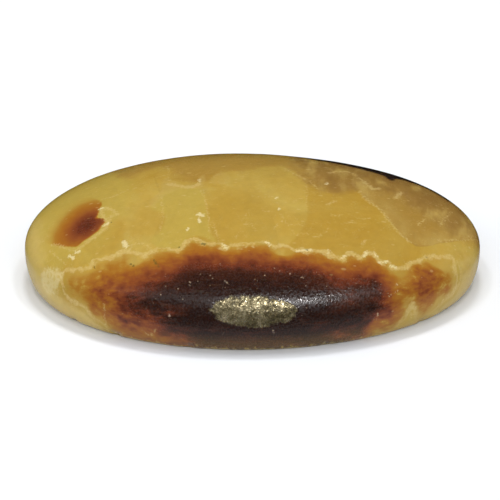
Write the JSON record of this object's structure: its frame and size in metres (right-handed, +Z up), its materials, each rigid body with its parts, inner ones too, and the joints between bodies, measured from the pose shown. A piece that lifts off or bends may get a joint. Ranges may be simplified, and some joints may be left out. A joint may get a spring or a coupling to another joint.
{
  "type": "oval calcite cabochon",
  "caption": "Oval domed cabochon of cloudy yellow calcite with a dark brown patch, polished above, with a rounded edge and a flat ground base.",
  "frame": {"origin": "middle of the flat base, on the surface that the stone rests on", "axes": "+X along the stone's length towards its finer end, +Z up through the dome, -Y towards the side with the brown patch"},
  "size_m": [0.036, 0.0238, 0.0079],
  "materials": {
    "calcite": "polished"
  },
  "bodies": {
    "root": {"calcite_cabochon": "calcite"}
  },
  "joints": []
}
